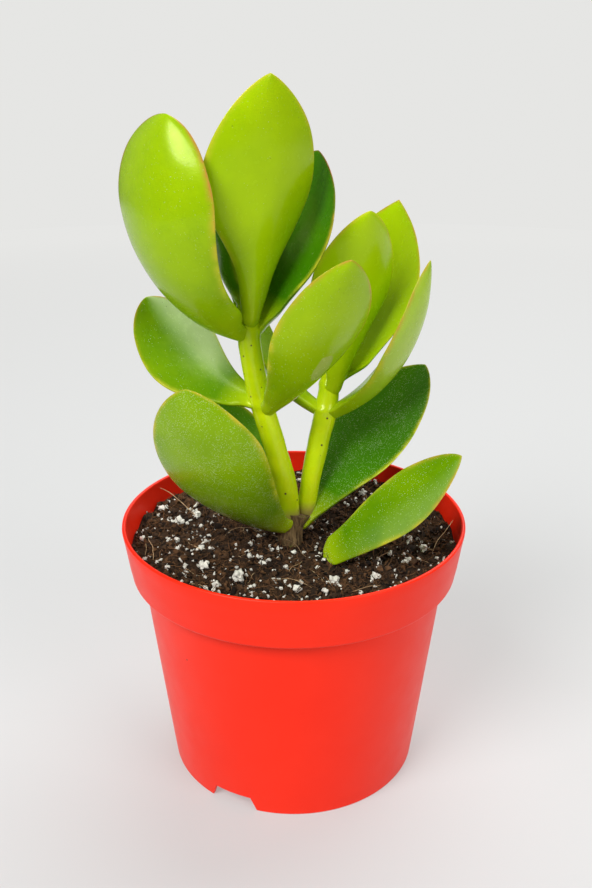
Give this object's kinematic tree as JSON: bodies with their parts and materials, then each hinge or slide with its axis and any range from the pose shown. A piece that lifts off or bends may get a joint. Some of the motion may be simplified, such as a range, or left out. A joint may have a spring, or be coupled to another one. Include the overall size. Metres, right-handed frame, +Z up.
{
  "type": "potted jade plant",
  "caption": "Young jade plant with plump glossy leaves on two green stems, growing in a round plastic nursery pot of dark potting mix, with one leaf cutting set beside it.",
  "frame": {"origin": "centre of the circle that the pot's foot stands on", "axes": "+Z up along the pot's axis, +Y away from the front of the plant, +X to the plant's right as seen from the front"},
  "size_m": [0.1, 0.1, 0.2005],
  "materials": {
    "pot_red": "satin moulded polypropylene, bright warm red",
    "potting_mix": "loose dark coir and bark crumbs, matt",
    "bark": "thin brown bark with fine lengthwise ridges",
    "stem_green": "smooth waxy yellow-green skin",
    "leaf_green": "waxy gloss with fine pale speckles and a yellow to red-brown margin",
    "perlite_white": "chalky white expanded grains"
  },
  "bodies": {
    "root": {"bud_leaf_left": "leaf_green", "bud_leaf_right": "leaf_green", "cutting_leaf": "leaf_green", "low_leaf_back": "leaf_green", "low_leaf_left": "leaf_green", "low_leaf_right": "leaf_green", "main_stem": "stem_green", "middle_leaf_left": "leaf_green", "middle_leaf_right": "leaf_green", "perlite_01": "perlite_white", "perlite_02": "perlite_white", "perlite_03": "perlite_white", "perlite_04": "perlite_white", "perlite_05": "perlite_white", "perlite_06": "perlite_white", "perlite_07": "perlite_white", "perlite_08": "perlite_white", "perlite_09": "perlite_white", "perlite_10": "perlite_white", "perlite_11": "perlite_white", "perlite_12": "perlite_white", "perlite_13": "perlite_white", "perlite_14": "perlite_white", "perlite_15": "perlite_white", "perlite_16": "perlite_white", "pot": "pot_red", "potting_mix": "potting_mix", "side_bud_left": "leaf_green", "side_bud_right": "leaf_green", "side_leaf_back": "leaf_green", "side_leaf_front": "leaf_green", "side_leaf_left": "leaf_green", "side_leaf_right": "leaf_green", "side_stem": "stem_green", "top_leaf_back": "leaf_green", "top_leaf_front": "leaf_green", "top_leaf_left": "leaf_green", "top_leaf_right": "leaf_green", "trunk": "bark"}
  },
  "joints": []
}
